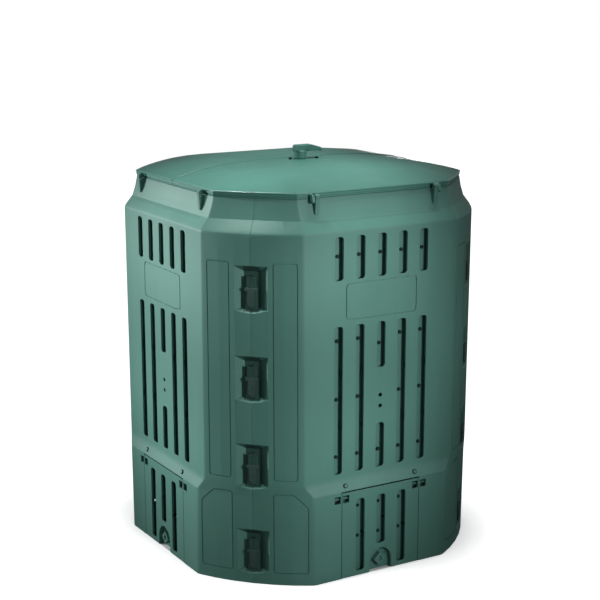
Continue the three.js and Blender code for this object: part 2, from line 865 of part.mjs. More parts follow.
function lidPin(side) {
  const inner = earInner - lidPinProud;
  const shankEnd = earInner + earThickness + lidLugGap + lidLugThickness + restGap;
  const head = shankEnd + lidPinHeadLength;
  const rod = (radius, low, high) => rodAlongX(
    radius, side > 0 ? low : -high, side > 0 ? high : -low, lidAxisY, lidAxisZ, lidPinSides,
  );
  return joined([rod(lidPinRadius, inner, head), rod(lidPinHeadRadius, shankEnd, head)]);
}

// Handle: round hub, lever arm with a drooping tip, and a spindle through the leaf
function knobSolid() {
  const hubFoot = lidApex + restGap;
  const armFoot = hubFoot + knobHubHeight;
  const armHead = armFoot + knobArmThickness;
  const tipX = knobX + knobArmReach;
  const backX = knobX - knobHubRadius;
  const arm = prismAlongY([
    [backX, armFoot],
    [tipX - knobTipThickness - knobTipLean, armFoot],
    [tipX - knobTipThickness, armHead - knobTipDrop],
    [tipX, armHead - knobTipDrop],
    [tipX - knobTipBend, armHead - knobTipFall],
    [tipX - knobTipSlope, armHead],
    [backX + knobTipBend, armHead],
    [backX, armHead - knobTipBend],
  ], knobY - knobArmHalfWidth, knobY + knobArmHalfWidth);
  const lidUnderside = lidApex - lidSkin;
  const squareHead = lidUnderside - camGap;
  const tailFoot = squareHead - camThickness - camTailProud;
  const halfSquare = spindleSquare / 2;
  return joined([
    arm,
    rodAlongZ(knobHubRadius, hubFoot, armFoot + weldDepth, knobX, knobY, knobHubSides),
    rodAlongZ(spindleRadius, squareHead, hubFoot + weldDepth, knobX, knobY, spindleSides),
    block(
      knobX - halfSquare, knobX + halfSquare, knobY - halfSquare, knobY + halfSquare,
      tailFoot, squareHead + weldDepth,
    ),
  ]);
}

function camSolid() {
  const head = lidApex - lidSkin - camGap - restGap;
  const halfHole = spindleSquare / 2 + restGap;
  const bar = block(
    knobX - camTail, knobX + camReach, knobY - camWidth / 2, knobY + camWidth / 2, head - camThickness, head,
  );
  return bar.subtract(block(
    knobX - halfHole, knobX + halfHole, knobY - halfHole, knobY + halfHole,
    head - camThickness - cutOverrun, head + cutOverrun,
  ));
}

// Flap
const archPlateBackY = skirtFaceY + archDepth + archWall;
function archOutline(half, straight, foot) {
  const outline = [[-half, foot], [half, foot]];
  for (let step = 0; step <= archSteps; step += 1) {
    const angle = (fullTurn / 2) * (step / archSteps);
    outline.push([half * Math.cos(angle), straight + half * Math.sin(angle)]);
  }
  return outline;
}

function flapSlots() {
  const middle = (flapSlotColumns - 1) / 2;
  const slots = [];
  for (let column = 0; column < flapSlotColumns; column += 1) {
    const common = { x: (column - middle) * slotPitch, width: flapSlotWidth, skin: flapThickness };
    const head = flapSlotFoot + flapSlotHeight;
    if (column === middle) {
      slots.push({
        ...common, foot: head - flapMiddleSlotHeight, height: flapMiddleSlotHeight,
        ties: flapTies,
      });
    } else {
      slots.push({ ...common, foot: flapSlotFoot, height: flapSlotHeight, ties: flapTies });
    }
  }
  return slots;
}

function flapSolid() {
  const slots = flapSlots();
  const edgeBackY = skirtFaceY + flapEdgeDepth;
  let solid = block(-flapHalf, flapHalf, skirtFaceY, skirtFaceY + flapThickness, flapFoot, flapHead);
  solid = joined([
    solid,
    block(-flapHalf, flapEdgeThickness - flapHalf, skinMiddleY, edgeBackY, flapFoot, flapHead),
    block(flapHalf - flapEdgeThickness, flapHalf, skinMiddleY, edgeBackY, flapFoot, flapHead),
    ...slots.map((slot) => baffle(slot, skirtFaceY)),
    prismAlongY(archOutline(archHalf + archWall, archStraight, flapFoot), skinMiddleY, archPlateBackY),
  ]);
  for (const slot of slots) {
    const outline = slotOutline(slot.x, slot.foot, slot.width, slot.height);
    solid = solid.subtract(prismAlongY(
      outline, skirtFaceY - cutOverrun, skirtFaceY + baffleDepth - weldDepth,
    ));
  }
  solid = solid.subtract(prismAlongY(
    archOutline(archHalf, archStraight, -cutOverrun), skirtFaceY - cutOverrun, skirtFaceY + archDepth,
  ));
  for (const side of [-1, 1]) {
    solid = solid.add(pocketCup(side, flapPocketX)).subtract(pocketCut(side, flapPocketX));
  }
  solid = solid.intersect(block(
    -flapHalf, flapHalf, skirtFaceY - cutOverrun, skirtFaceY + jambDepth, flapFoot, flapHead,
  ));
  solid = solid.subtract(rodAlongX(
    flapPinRadius + pinGap, -flapHalf - cutOverrun, flapHalf + cutOverrun, flapPinY, flapPinZ, flapPinSides,
  ));
  return solid.subtract(rodAlongY(
    latchSpindleRadius + pinGap, skirtFaceY, archPlateBackY + cutOverrun, 0, latchRise, spindleSides,
  ));
}

function flapPin(side) {
  const near = flapPocketX - hingePocketWall;
  const far = wallPocketFarX;
  const span = side > 0 ? [near, far] : [-far, -near];
  return rodAlongX(flapPinRadius, ...span, flapPinY, flapPinZ, flapPinSides);
}

// Diamond-headed turn latch in the arch, and the catch that its spindle turns behind the sill
const catchFrontY = jambBackY + catchGap;
function latchSolid() {
  const headBackY = skirtFaceY + archDepth - restGap;
  const headFrontY = headBackY - latchHeadThickness;
  const diamond = (half) => [
    [0, latchRise - half],
    [half, latchRise],
    [0, latchRise + half],
    [-half, latchRise],
  ];
  const square = spindleSquare / 2;
  const tailBackY = catchFrontY + catchThickness + latchTailProud;
  const solid = joined([
    prismAlongY(diamond(latchHalf), headFrontY, headBackY),
    rodAlongY(latchSpindleRadius, headBackY - weldDepth, catchFrontY - restGap, 0, latchRise, spindleSides),
    block(
      -square, square, catchFrontY - restGap - weldDepth, tailBackY, latchRise - square, latchRise + square,
    ),
  ]);
  return solid.subtract(prismAlongY(
    diamond(latchHoleHalf), headFrontY - cutOverrun, headFrontY + latchHoleDepth,
  ));
}

function catchSolid() {
  const hole = spindleSquare / 2 + restGap;
  const bar = block(
    -catchHalf, catchHalf, catchFrontY, catchFrontY + catchThickness,
    latchRise - catchWidth / 2, latchRise + catchWidth / 2,
  );
  return bar.subtract(block(
    -hole, hole, catchFrontY - cutOverrun, catchFrontY + catchThickness + cutOverrun,
    latchRise - hole, latchRise + hole,
  ));
}

// Assembly
function named(name, geometry, color, roughness) {
  const material = new THREE.MeshStandardMaterial({ color, roughness, metalness: 0 });
  const mesh = new THREE.Mesh(geometry, material);
  mesh.name = name;
  return mesh;
}

const sides = [
  { name: 'front', corner: 'front_left', turn: 0 },
  { name: 'right', corner: 'front_right', turn: quarterTurn },
  { name: 'back', corner: 'back_right', turn: quarterTurn + quarterTurn },
  { name: 'left', corner: 'back_left', turn: -quarterTurn },
];

const bin = new THREE.Group();
const wallGeometry = geometryOf(wallPanel());
const flapGeometry = geometryOf(flapSolid());
const latchGeometry = geometryOf(latchSolid());
const catchGeometry = geometryOf(catchSolid());
const flapPinGeometries = { a: geometryOf(flapPin(-1)), b: geometryOf(flapPin(1)) };
const clipGeometries = recessPlaces().map((place) => geometryOf(cornerClip(place)));

for (const side of sides) {
  const group = new THREE.Group();
  group.rotation.z = side.turn;
  group.add(named(`wall_${side.name}`, wallGeometry, panelGreen, panelRoughness));
  group.add(named(`flap_${side.name}`, flapGeometry, panelGreen, panelRoughness));
  group.add(named(`flap_latch_${side.name}`, latchGeometry, panelGreen, panelRoughness));
  group.add(named(`flap_catch_${side.name}`, catchGeometry, clipGreen, clipRoughness));
  for (const [end, geometry] of Object.entries(flapPinGeometries)) {
    group.add(named(`flap_pin_${side.name}_${end}`, geometry, pinGreen, clipRoughness));
  }
  const cornerGroup = new THREE.Group();
  cornerGroup.rotation.z = -eighthTurn;
  clipGeometries.forEach((geometry, index) => {
    cornerGroup.add(named(`clip_${side.corner}_${index + 1}`, geometry, clipGreen, clipRoughness));
  });
  group.add(cornerGroup);
  bin.add(group);
}

const lidSides = [
  { name: 'front', turn: 0, carriesKnob: true },
  { name: 'back', turn: quarterTurn + quarterTurn, carriesKnob: false },
];
for (const side of lidSides) {
  const group = new THREE.Group();
  group.rotation.z = side.turn;
  const leaf = geometryOf(lidLeaf(side.carriesKnob));
  group.add(named(`lid_${side.name}`, leaf, lidGreen, panelRoughness));
  for (const [end, direction] of [['a', -1], ['b', 1]]) {
    const pin = geometryOf(lidPin(direction));
    group.add(named(`lid_pin_${side.name}_${end}`, pin, pinGreen, clipRoughness));
  }
  if (side.carriesKnob) {
    group.add(named('lid_handle', geometryOf(knobSolid()), lidGreen, panelRoughness));
    group.add(named('lid_cam', geometryOf(camSolid()), clipGreen, clipRoughness));
  }
  bin.add(group);
}

export default bin;
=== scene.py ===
import json
import math

import bmesh
import bpy
from mathutils import Matrix, Vector
from mathutils.bvhtree import BVHTree


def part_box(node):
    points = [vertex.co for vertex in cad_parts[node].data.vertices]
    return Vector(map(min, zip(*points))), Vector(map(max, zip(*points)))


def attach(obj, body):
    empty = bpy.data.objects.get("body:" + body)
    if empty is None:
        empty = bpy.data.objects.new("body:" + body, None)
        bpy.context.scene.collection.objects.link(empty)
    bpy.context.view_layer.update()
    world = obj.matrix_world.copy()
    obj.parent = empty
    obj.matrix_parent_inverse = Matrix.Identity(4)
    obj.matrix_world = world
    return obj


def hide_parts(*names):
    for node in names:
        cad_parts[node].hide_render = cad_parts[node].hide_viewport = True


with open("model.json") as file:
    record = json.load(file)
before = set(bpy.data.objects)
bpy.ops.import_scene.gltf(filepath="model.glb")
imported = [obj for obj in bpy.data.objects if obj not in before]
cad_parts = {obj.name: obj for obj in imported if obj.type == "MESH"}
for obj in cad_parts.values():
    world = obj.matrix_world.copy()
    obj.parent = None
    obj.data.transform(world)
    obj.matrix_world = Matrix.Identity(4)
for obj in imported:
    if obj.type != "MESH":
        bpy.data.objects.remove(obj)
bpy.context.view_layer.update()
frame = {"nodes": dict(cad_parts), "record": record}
nodes = frame["nodes"]
scene = bpy.context.scene
mm = 0.001
quarter = math.pi / 2
wallDraft = 2 / 647  # how far the walls lean out for their height
sideTurns = {"front": 0, "right": quarter, "back": 2 * quarter, "left": -quarter}
cornerOfSide = {"front": "front_left", "right": "front_right", "back": "back_right", "left": "back_left"}
print("frame loaded:", len(nodes), "nodes")


# Shader maths: a value wraps a socket, and an expression on values adds its nodes

noiseRoughness = 0.55
unstretched = (1, 1, 1)


class Value:
    def __init__(self, shader, socket):
        self.shader = shader
        self.socket = socket

    def maths(self, operation, first, second):
        return self.shader.maths(operation, first, second)

    def __add__(self, other):
        return self.maths("ADD", self, other)

    def __radd__(self, other):
        return self.maths("ADD", other, self)

    def __sub__(self, other):
        return self.maths("SUBTRACT", self, other)

    def __rsub__(self, other):
        return self.maths("SUBTRACT", other, self)

    def __mul__(self, other):
        return self.maths("MULTIPLY", self, other)

    def __rmul__(self, other):
        return self.maths("MULTIPLY", other, self)

    def __truediv__(self, other):
        return self.maths("DIVIDE", self, other)

    def __rtruediv__(self, other):
        return self.maths("DIVIDE", other, self)


class Shader:
    def __init__(self, owner):
        self.owner = owner
        owner.use_nodes = True
        self.tree = owner.node_tree
        self.tree.nodes.clear()

    def add(self, kind, settings=None, inputs=None, output=0):
        node = self.tree.nodes.new(kind)
        for key, value in (settings or {}).items():
            if key == "stops":
                for element, (position, shade) in zip(node.color_ramp.elements, value):
                    element.position = position
                    element.color = (shade, shade, shade, 1)
            else:
                setattr(node, key, value)
        for key, value in (inputs or {}).items():
            if isinstance(value, Value):
                self.tree.links.new(value.socket, node.inputs[key])
            else:
                node.inputs[key].default_value = value
        return Value(self, node.outputs[output])

    def maths(self, operation, first, second):
        return self.add("ShaderNodeMath", {"operation": operation}, {0: first, 1: second})

    def part(self, vector, axis):
        return self.add("ShaderNodeSeparateXYZ", {}, {0: vector}, output=axis)

    def size(self, value):
        return self.add("ShaderNodeMath", {"operation": "ABSOLUTE"}, {0: value})

    def mixColour(self, factor, first, second):
        settings = {"data_type": "RGBA"}
        return self.add("ShaderNodeMix", settings, {0: factor, 6: first, 7: second}, output=2)

    def noise(self, place, scale, detail, stretch=unstretched):
        if stretch != unstretched:
            place = self.add("ShaderNodeMapping", {}, {"Vector": place, "Scale": stretch})
        inputs = {"Vector": place, "Scale": scale, "Detail": detail, "Roughness": noiseRoughness}
        return self.add("ShaderNodeTexNoise", {}, inputs)

    def finish(self, surface, kind="ShaderNodeOutputMaterial"):
        node = self.tree.nodes.new(kind)
        self.tree.links.new(surface.socket, node.inputs["Surface"])
        return self.owner


# Moulded plastics: fine grain, flow streaks from the mould, and a slightly uneven pigment; the wall plastic
# also carries painted shade in its slots and recesses

panelPlastic = {
    "colour": (0.074, 0.203, 0.165, 1),
    "deepColour": (0.062, 0.175, 0.141, 1),
    "paleColour": (0.088, 0.227, 0.187, 1),
    "roughness": 0.5,
    "polish": 0.04,
    "specular": 0.38,
    "ior": 1.5,
    "cloudScale": 5.5,
    "cloudDetail": 3,
    "cloudStops": [(0.35, 0), (0.68, 1)],
    "cloudShare": 0.55,
    "cloudRoughness": 0.1,
    "streakScale": 14,
    "streakDetail": 4,
    "streakStretch": (1, 1, 0.07),
    "streakStops": [(0.42, 0), (0.7, 1)],
    "streakShare": 0.4,
    "streakRoughness": 0.06,
    "speckleScale": 260,
    "speckleDetail": 1,
    "speckleShare": 0.12,
    "speckleHeight": 0.5,
    "grainScale": 620,
    "grainDetail": 2,
    "grainHeight": 0.22 * mm,
    "grainStrength": 0.32,
    "paintedGapShade": True,
}
lidPlastic = {
    **panelPlastic,
    "colour": (0.064, 0.215, 0.17, 1),
    "deepColour": (0.054, 0.188, 0.148, 1),
    "paleColour": (0.08, 0.24, 0.193, 1),
    "roughness": 0.46,
    "paintedGapShade": False,
}
clipPlastic = {
    **lidPlastic,
    "colour": (0.042, 0.085, 0.074, 1),
    "deepColour": (0.032, 0.067, 0.058, 1),
    "paleColour": (0.053, 0.1, 0.088, 1),
    "roughness": 0.6,
    "specular": 0.25,
}
pinPlastic = {
    **lidPlastic,
    "colour": (0.04, 0.135, 0.108, 1),
    "deepColour": (0.031, 0.11, 0.087, 1),
    "paleColour": (0.055, 0.165, 0.134, 1),
    "roughness": 0.38,
}
# Near-black peg plastic: painted shade that stands for the shade inside holes and dimples
pegPlastic = {
    **lidPlastic,
    "colour": (0.006, 0.022, 0.018, 1),
    "deepColour": (0.004, 0.014, 0.011, 1),
    "paleColour": (0.01, 0.03, 0.025, 1),
    "roughness": 0.7,
    "specular": 0.15,
}
rimPlastic = {
    **lidPlastic,
    "roughness": 0.26,
    "specular": 0.7,
    "grainStrength": 0.12,
}

# Painted shade: near-black colour on the faces between the wall's skin and the baffle strips and around the
# rails of the clips, and a lighter painted shade on the baffle strips, where shade falls inside the slots
# and recesses

paintedGapShade = {
    "colour": (0.004, 0.013, 0.011, 1),
    "share": 0.93,
    "near": 5.5 * mm,
    "far": 14.4 * mm,
    "across": 190 * mm,
    "ledge": 253 * mm,
    "head": 910 * mm,
    "skirtHalf": 424 * mm,
    "faceHalf": 415 * mm,
    "archHalf": 37 * mm,
    "archHead": 66 * mm,
}
paintedStripShade = {"share": 0.13, "near": 15.2 * mm, "far": 19.6 * mm}
paintedRailShade = {
    "share": 0.66,
    "reach": 465 * mm,
    "lean": 0.0098,
    "near": 2.7 * mm,
    "far": 27 * mm,
    "half": 21.5 * mm,
}


def within(shader, value, low, high):
    return shader.maths("GREATER_THAN", value, low) * shader.maths("LESS_THAN", value, high)


# Mask of the painted shade: gap faces in the slots, the baffle strips behind them and the clip rails, but
# not the arch
def paintedShadeMask(shader, place):
    xSize = shader.size(shader.part(place, 0))
    ySize = shader.size(shader.part(place, 1))
    height = shader.part(place, 2)
    across = shader.maths("MINIMUM", xSize, ySize)
    onFace = shader.maths("GREATER_THAN", height, paintedGapShade["ledge"])
    half = paintedGapShade["skirtHalf"] - (paintedGapShade["skirtHalf"] - paintedGapShade["faceHalf"]) * onFace
    depth = half - shader.maths("MAXIMUM", xSize, ySize)
    archEdge = shader.maths("MAXIMUM", across - paintedGapShade["archHalf"], height - paintedGapShade["archHead"])
    offArch = shader.maths("GREATER_THAN", archEdge, 0)
    onColumns = offArch * shader.maths("LESS_THAN", across, paintedGapShade["across"])
    slots = onColumns * within(shader, depth, paintedGapShade["near"], paintedGapShade["far"])
    slots = slots * within(shader, height, 0, paintedGapShade["head"])
    strips = onColumns * within(shader, depth, paintedStripShade["near"], paintedStripShade["far"])
    cornerDepth = paintedRailShade["reach"] + paintedRailShade["lean"] * height - (xSize + ySize) / math.sqrt(2)
    offMiddle = shader.size(xSize - ySize) / math.sqrt(2)
    rails = within(shader, cornerDepth, paintedRailShade["near"], paintedRailShade["far"])
    rails = rails * shader.maths("LESS_THAN", offMiddle, paintedRailShade["half"])
    rails = rails * shader.maths("LESS_THAN", height, paintedGapShade["head"])
    return paintedGapShade["share"] * slots + paintedStripShade["share"] * strips + paintedRailShade["share"] * rails


def mouldedPlastic(name, look):
    shader = Shader(bpy.data.materials.new(name))
    place = shader.add("ShaderNodeTexCoord", output="Object")
    cloud = shader.noise(place, look["cloudScale"], look["cloudDetail"])
    streak = shader.noise(place, look["streakScale"], look["streakDetail"], look["streakStretch"])
    speckle = shader.noise(place, look["speckleScale"], look["speckleDetail"])
    grain = shader.noise(place, look["grainScale"], look["grainDetail"])
    cloudMask = shader.add("ShaderNodeValToRGB", {"stops": look["cloudStops"]}, {0: cloud})
    streakMask = shader.add("ShaderNodeValToRGB", {"stops": look["streakStops"]}, {0: streak})
    colour = shader.mixColour(look["cloudShare"] * cloudMask, look["colour"], look["deepColour"])
    colour = shader.mixColour(look["streakShare"] * streakMask, colour, look["paleColour"])
    colour = shader.mixColour(look["speckleShare"] * speckle, colour, look["deepColour"])
    # painted shade mixed into the base colour inside the slots, on the baffle strips and around the clip
    # rails
    if look["paintedGapShade"]:
        colour = shader.mixColour(paintedShadeMask(shader, place), colour, paintedGapShade["colour"])
    roughness = look["roughness"] - look["polish"] + look["cloudRoughness"] * cloud
    roughness = roughness + look["streakRoughness"] * (1 - streak)
    bump = shader.add("ShaderNodeBump", {}, {
        "Strength": look["grainStrength"],
        "Distance": look["grainHeight"],
        "Height": grain + look["speckleHeight"] * speckle,
    })
    surface = shader.add("ShaderNodeBsdfPrincipled", {}, {
        "Base Color": colour,
        "Roughness": roughness,
        "IOR": look["ior"],
        "Specular IOR Level": look["specular"],
        "Normal": bump,
    })
    return shader.finish(surface)


plastics = {
    "panel": mouldedPlastic("panelPlastic", panelPlastic),
    "lid": mouldedPlastic("lidPlastic", lidPlastic),
    "clip": mouldedPlastic("clipPlastic", clipPlastic),
    "pin": mouldedPlastic("pinPlastic", pinPlastic),
    "peg": mouldedPlastic("pegPlastic", pegPlastic),
    "rim": mouldedPlastic("rimPlastic", rimPlastic),
}
for node in nodes.values():
    slotName = next(row["material_slot"] for row in frame["record"]["subparts"] if row["node"] == node.name)
    node.data.materials.clear()
    node.data.materials.append(plastics[slotName])
print("plastics mixed")


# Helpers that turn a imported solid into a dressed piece

finish = {
    "weld": 2e-5,
    "flatAngle": math.radians(0.04),
    "softAngle": math.radians(38),
    "bevelAngle": math.radians(28),
    "creaseSlack": 0.3 * mm,
    "mostCorners": 4,
    "faceWeight": 60,
}


def linkPiece(name, mesh):
    piece = bpy.data.objects.new(name, mesh)
    scene.collection.objects.link(piece)
    return piece


def weldedCopy(nodeName, pieceName):
    work = bmesh.new()
    work.from_mesh(nodes[nodeName].data)
    bmesh.ops.remove_doubles(work, verts=work.verts, dist=finish["weld"])
    bmesh.ops.dissolve_limit(work, angle_limit=finish["flatAngle"], verts=work.verts, edges=work.edges)
    mesh = bpy.data.meshes.new(pieceName)
    work.to_mesh(mesh)
    work.free()
    if mesh.attributes.get("custom_normal"):
        mesh.attributes.remove(mesh.attributes["custom_normal"])
    return linkPiece(pieceName, mesh)


def applyModifiers(piece):
    evaluated = piece.evaluated_get(bpy.context.evaluated_depsgraph_get())
    mesh = bpy.data.meshes.new_from_object(evaluated)
    mesh.name = piece.name
    piece.modifiers.clear()
    piece.data = mesh


def bevel(piece, width, segments):
    work = bmesh.new()
    work.from_mesh(piece.data)
    crowded = [face for face in work.faces if len(face.verts) > finish["mostCorners"]]
    bmesh.ops.triangulate(work, faces=crowded)
    work.to_mesh(piece.data)
    work.free()
    edgeRound = piece.modifiers.new("edgeRound", "BEVEL")
    edgeRound.width = width
    edgeRound.segments = segments
    edgeRound.limit_method = "ANGLE"
    edgeRound.angle_limit = finish["bevelAngle"]
    edgeRound.use_clamp_overlap = False
    edgeRound.miter_outer = "MITER_ARC"
    edgeRound.loop_slide = False
    applyModifiers(piece)


def cutBy(piece, cutter):
    cut = piece.modifiers.new("groove", "BOOLEAN")
    cut.operation = "DIFFERENCE"
    cut.solver = "EXACT"
    cut.object = cutter
    applyModifiers(piece)
    bpy.data.objects.remove(cutter)


def smooth(piece, plastic, angle=finish["softAngle"], crease=None):
    piece.data.materials.clear()
    piece.data.materials.append(plastics[plastic])
    piece.data.shade_smooth()
    piece.data.set_sharp_from_angle(angle=angle)
    if crease is not None:
        points = piece.data.vertices
        for edge in piece.data.edges:
            if all(abs(points[index].co.z - crease) < finish["creaseSlack"] for index in edge.vertices):
                edge.use_edge_sharp = True
    weigh = piece.modifiers.new("flatFaces", "WEIGHTED_NORMAL")
    weigh.keep_sharp = True
    weigh.weight = finish["faceWeight"]
    applyModifiers(piece)


def turnedCopy(piece, name, turn):
    mesh = piece.data.copy()
    mesh.name = name
    mesh.transform(Matrix.Rotation(turn, 4, "Z"))
    return linkPiece(name, mesh)


def settle(piece, body, slotName, *replaced):
    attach(piece, body)
    if replaced:
        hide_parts(*replaced)


# Grooves: a ribbon that follows a path over the panel's outer skin and is cut out of it

groove = {"depth": 2.4 * mm, "proud": 4 * mm, "step": 6 * mm, "cornerSteps": 3, "castFrom": 1000 * mm}


def roundedPath(corners, radius):
    points = []
    count = len(corners)
    for index, corner in enumerate(corners):
        corner = Vector(corner)
        before = (Vector(corners[index - 1]) - corner).normalized()
        after = (Vector(corners[(index + 1) % count]) - corner).normalized()
        start = corner + before * radius
        end = corner + after * radius
        for step in range(groove["cornerSteps"] + 1):
            share = step / groove["cornerSteps"]
            points.append(start.lerp(corner, share).lerp(corner.lerp(end, share), share))
    return points


def evenPath(points):
    path = []
    for first, second in zip(points, points[1:] + points[:1]):
        steps = max(1, math.ceil((second - first).length / groove["step"]))
        path += [first.lerp(second, step / steps) for step in range(steps)]
    return path


def grooveCutter(skin, turn, corners, radius, width):
    path = evenPath(roundedPath(corners, radius))
    toWorld = Matrix.Rotation(turn, 4, "Z")
    away = toWorld.to_3x3() @ Vector((0, 1, 0))
    work = bmesh.new()
    rings = []
    for index, point in enumerate(path):
        along = (path[(index + 1) % len(path)] - path[index - 1]).normalized()
        across = Vector((along.y, -along.x)) * width / 2
        edges = []
        for side in (-1, 1):
            spot = point + across * side
            start = toWorld @ Vector((spot.x, -groove["castFrom"], spot.y))
            hit = skin.ray_cast(start, away)[0]
            edges.append((hit - away * groove["proud"], hit + away * groove["depth"]))
        ring = [edges[0][0], edges[1][0], edges[1][1], edges[0][1]]
        rings.append([work.verts.new(corner) for corner in ring])
    for index, ring in enumerate(rings):
        following = rings[(index + 1) % len(rings)]
        for corner in range(len(ring)):
            nextCorner = (corner + 1) % len(ring)
            work.faces.new((ring[corner], ring[nextCorner], following[nextCorner], following[corner]))
    bmesh.ops.recalc_face_normals(work, faces=work.faces)
    mesh = bpy.data.meshes.new("grooveRibbon")
    work.to_mesh(mesh)
    work.free()
    return linkPiece("grooveRibbon", mesh)


def joinedCutters(cutters):
    work = bmesh.new()
    for cutter in cutters:
        work.from_mesh(cutter.data)
        bpy.data.objects.remove(cutter)
    mesh = bpy.data.meshes.new("cutters")
    work.to_mesh(mesh)
    work.free()
    return linkPiece("cutters", mesh)


# Wall panels with the plate's border and the pads' borders on both wings

panel = {
    "bevel": 0.7 * mm,
    "bevelSteps": 2,
    "softAngle": math.radians(15),
    "creaseHeight": 944 * mm,
    "plateGroove": 3 * mm,
    "padGroove": 2.3 * mm,
    "plateHalf": 106 * mm,
    "plateFoot": 688 * mm,
    "plateHead": 781 * mm,
    "plateRound": 12 * mm,
    "padNear": 57 * mm,
    "padFar": 116 * mm,
    "padFoot": 284 * mm,
    "padHead": 843 * mm,
    "padRound": 7 * mm,
    "footPadNear": 55 * mm,
    "footPadFar": 142 * mm,
    "footPadFoot": 33 * mm,
    "footPadHead": 246 * mm,
    "footPadChamferX": 36 * mm,
    "footPadChamferZ": 36 * mm,
}


def wingPads(side):
    upper = [
        (side * panel["padNear"], panel["padFoot"]),
        (side * panel["padFar"], panel["padFoot"]),
        (side * panel["padFar"], panel["padHead"]),
        (side * panel["padNear"], panel["padHead"]),
    ]
    lower = [
        (side * panel["footPadNear"], panel["footPadFoot"]),
        (side * panel["footPadFar"], panel["footPadFoot"]),
        (side * panel["footPadFar"], panel["footPadHead"] - panel["footPadChamferZ"]),
        (side * (panel["footPadFar"] - panel["footPadChamferX"]), panel["footPadHead"]),
        (side * panel["footPadNear"], panel["footPadHead"]),
    ]
    return [upper, lower]


def panelPieces():
    first = weldedCopy("wall_front", "panel_front")
    skin = BVHTree.FromObject(first, bpy.context.evaluated_depsgraph_get())
    plate = [
        (-panel["plateHalf"], panel["plateFoot"]),
        (panel["plateHalf"], panel["plateFoot"]),
        (panel["plateHalf"], panel["plateHead"]),
        (-panel["plateHalf"], panel["plateHead"]),
    ]
    cutters = [grooveCutter(skin, 0, plate, panel["plateRound"], panel["plateGroove"])]
    for side in (-1, 1):
        turn = side * quarter / 2
        for pad in wingPads(-side):
            cutters.append(grooveCutter(skin, turn, pad, panel["padRound"], panel["padGroove"]))
    bevel(first, panel["bevel"], panel["bevelSteps"])
    cutBy(first, joinedCutters(cutters))
    smooth(first, "panel", panel["softAngle"], panel["creaseHeight"])
    pieces = {"front": first}
    for name, turn in sideTurns.items():
        if name != "front":
            pieces[name] = turnedCopy(first, f"panel_{name}", turn)
    for name, piece in pieces.items():
        settle(piece, "bin", "panel", f"wall_{name}")
    return pieces


panels = panelPieces()
print("wall panels made:", len(panels["front"].data.polygons), "faces each")


# Laps: a thin lip behind the seam in each corner, which follows the inner skin and the recesses' backs

seamLap = {
    "half": 5 * mm,
    "thick": 0.8 * mm,
    "gap": 0.1 * mm,
    "aside": 3 * mm,
    "foot": 4 * mm,
    "step": 4 * mm,
    "count": 251,
}


def seamLapPath():
    skin = BVHTree.FromObject(panels["front"], bpy.context.evaluated_depsgraph_get())
    outward = Vector((-1, -1, 0)).normalized()
    across = Vector((1, -1, 0)).normalized()
    levels = []
    depths = []
    for step in range(seamLap["count"]):
        level = Vector((0, 0, seamLap["foot"] + seamLap["step"] * step))
        depth = skin.ray_cast(level + across * seamLap["aside"], outward)[3]
        if depth is not None:
            levels.append(level)
            depths.append(depth)
    rings = []
    for index, level in enumerate(levels):
        near = min(depths[max(index - 1, 0):index + 2])
        face = level + outward * (near - seamLap["gap"])
        back = face - outward * seamLap["thick"]
        side = across * seamLap["half"]
        rings.append([face - side, face + side, back + side, back - side])
    return rings


def seamLapPiece(name):
    rings = seamLapPath()
    size = len(rings[0])
    points = []
    faces = []
    for turn in sideTurns.values():
        rotation = Matrix.Rotation(turn, 3, "Z")
        start = len(points)
        points += [rotation @ point for ring in rings for point in ring]
        for low in range(start, len(points) - size, size):
            for index in range(size):
                after = (index + 1) % size
                faces.append((low + index, low + after, low + size + after, low + size + index))
        faces.append(tuple(reversed(range(start, start + size))))
        faces.append(tuple(range(len(points) - size, len(points))))
    mesh = bpy.data.meshes.new(name)
    mesh.from_pydata(points, [], faces)
    piece = linkPiece(name, mesh)
    smooth(piece, "panel")
    settle(piece, "bin", "panel")


seamLapPiece("seam_laps")


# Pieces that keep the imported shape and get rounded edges

smallPieces = {
    "flap": {"bevel": 0.7 * mm, "bevelSteps": 2, "plastic": "panel", "body": "flap"},
    "flap_latch": {"bevel": 0.9 * mm, "bevelSteps": 3, "plastic": "panel", "body": "latch"},
    "flap_catch": {"bevel": 0.6 * mm, "bevelSteps": 2, "plastic": "clip", "body": "latch"},
    "flap_pin_a": {"bevel": 0.5 * mm, "bevelSteps": 2, "plastic": "pin", "body": None},
    "flap_pin_b": {"bevel": 0.5 * mm, "bevelSteps": 2, "plastic": "pin", "body": None},
}


def sidePieces(stem, look):
    part, _, end = stem.partition("_pin_")
    for side, turn in sideTurns.items():
        node = f"{part}_pin_{side}_{end}" if end else f"{stem}_{side}"
        if side == "front":
            first = weldedCopy(node, f"{node}_dressed")
            bevel(first, look["bevel"], look["bevelSteps"])
            smooth(first, look["plastic"])
        piece = first if side == "front" else turnedCopy(first, f"{node}_dressed", turn)
        body = f"{look['body']}_{side}" if look["body"] else "bin"
        settle(piece, body, look["plastic"], node)


for stem, look in smallPieces.items():
    sidePieces(stem, look)

